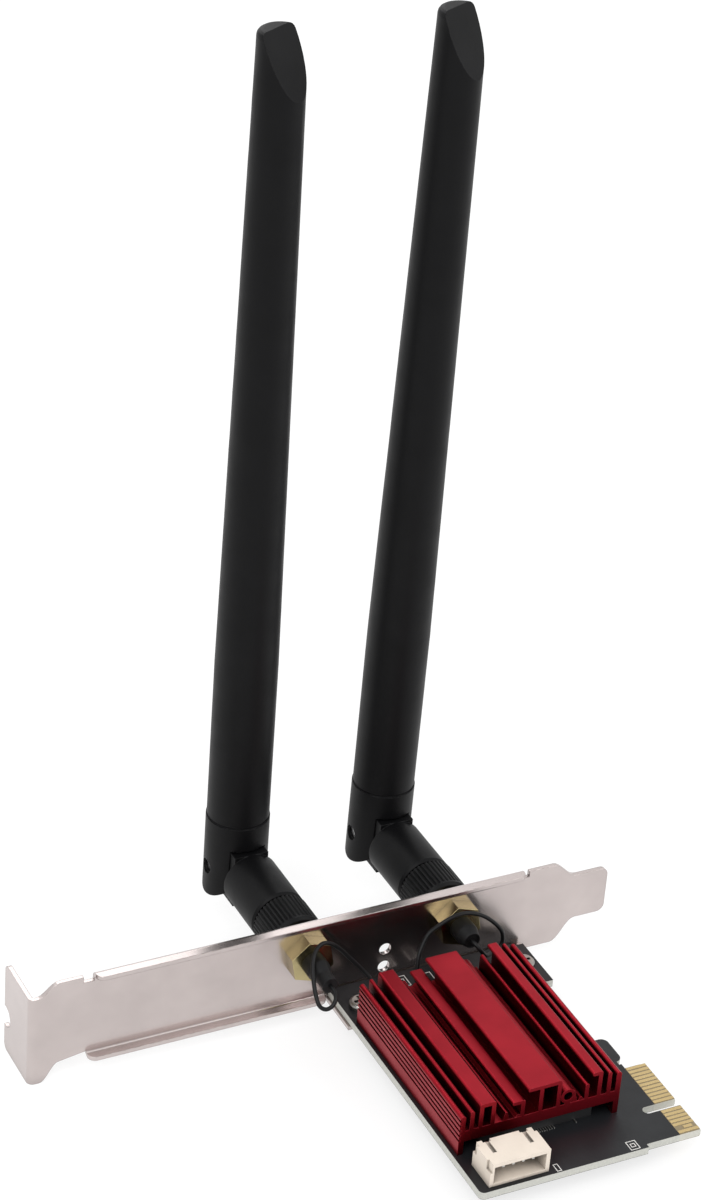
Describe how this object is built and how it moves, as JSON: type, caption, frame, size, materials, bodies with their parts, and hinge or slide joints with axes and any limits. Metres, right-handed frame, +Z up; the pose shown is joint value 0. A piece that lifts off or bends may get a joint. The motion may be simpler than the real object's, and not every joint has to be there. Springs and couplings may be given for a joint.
{
  "type": "wireless network card",
  "caption": "Internal wireless network card with a slot bracket, finned heat sink over a plug-in radio module, edge contacts and hinged whip antennas.",
  "frame": {"origin": "centre of the screw slot in the bracket's tab, on the face of the tab that seats on the computer's case", "axes": "+X along the bracket from the screw tab to the tongue; +Y out of the computer, towards the antennas' hinges; +Z up from the circuit board to the heat sink and along the upright antennas"},
  "size_m": [0.1201, 0.101, 0.1866],
  "materials": {
    "bracket_steel": "nickel plated, near mirror, with a faint warm tint",
    "board_black": "satin solder mask over glass-fibre board",
    "contact_gold": "gold flash",
    "anodised_red": "satin red anodised extrusion",
    "pad_grey": "matt soft pad",
    "module_green": "satin solder mask",
    "shield_steel": "tinned sheet",
    "socket_black": "moulded",
    "tin": "tinned",
    "jack_brass": "turned, gold plated",
    "screw_steel": "nickel plated",
    "header_ivory": "moulded, slightly translucent",
    "ptfe_white": "smooth",
    "sleeve_black": "shrink sleeve",
    "lead_black": "satin jacket",
    "knurl_black": "satin, knurled",
    "antenna_black": "fine matt moulding",
    "pin_steel": "plain"
  },
  "bodies": {
    "card": {"bracket": "bracket_steel", "circuit_board": "board_black", "edge_contacts": "contact_gold", "heat_sink": "anodised_red", "thermal_pad": "pad_grey", "radio_module": "module_green", "radio_shield": "shield_steel", "module_socket": "socket_black", "socket_tails": "tin", "module_standoff": "jack_brass", "module_screw": "screw_steel", "ear_screws": "screw_steel", "header_housing": "header_ivory", "header_pins": "tin", "antenna_jacks": "jack_brass", "jack_insulators": "ptfe_white", "jack_contacts": "contact_gold", "jack_washers": "jack_brass", "jack_nuts": "jack_brass", "left_sleeve": "sleeve_black", "right_sleeve": "sleeve_black", "left_lead": "lead_black", "right_lead": "lead_black", "lead_plugs": "contact_gold"},
    "left_nut": {"left_coupling_nut": "knurl_black"},
    "right_nut": {"right_coupling_nut": "knurl_black"},
    "left_swivel": {"left_ferrule": "jack_brass", "left_socket_pin": "contact_gold", "left_antenna_base": "antenna_black"},
    "right_swivel": {"right_ferrule": "jack_brass", "right_socket_pin": "contact_gold", "right_antenna_base": "antenna_black"},
    "left_antenna": {"left_hinge_pin": "pin_steel", "left_hinge_fork": "antenna_black", "left_whip": "antenna_black", "left_radiator": "jack_brass"},
    "right_antenna": {"right_hinge_pin": "pin_steel", "right_hinge_fork": "antenna_black", "right_whip": "antenna_black", "right_radiator": "jack_brass"}
  },
  "joints": [
    {"name": "left_nut_spin", "type": "hinge", "parent": "card", "child": "left_nut", "pos_m": [0.0544, -0.004, 0.0076], "axis": [0, 1, 0], "continuous": true},
    {"name": "right_nut_spin", "type": "hinge", "parent": "card", "child": "right_nut", "pos_m": [0.0855, -0.004, 0.0076], "axis": [0, 1, 0], "continuous": true},
    {"name": "left_antenna_swivel", "type": "hinge", "parent": "card", "child": "left_swivel", "pos_m": [0.0544, 0.0005, 0.0076], "axis": [0, 1, 0], "range_deg": [-180, 3]},
    {"name": "right_antenna_swivel", "type": "hinge", "parent": "card", "child": "right_swivel", "pos_m": [0.0855, 0.0005, 0.0076], "axis": [0, 1, 0], "range_deg": [-3, 180]},
    {"name": "left_antenna_tilt", "type": "hinge", "parent": "left_swivel", "child": "left_antenna", "pos_m": [0.0544, 0.0206, 0.0076], "axis": [-1, 0, -0.0017], "range_deg": [0, 90]},
    {"name": "right_antenna_tilt", "type": "hinge", "parent": "right_swivel", "child": "right_antenna", "pos_m": [0.0855, 0.0206, 0.0076], "axis": [-0.9998, 0, 0.0175], "range_deg": [0, 90]}
  ]
}
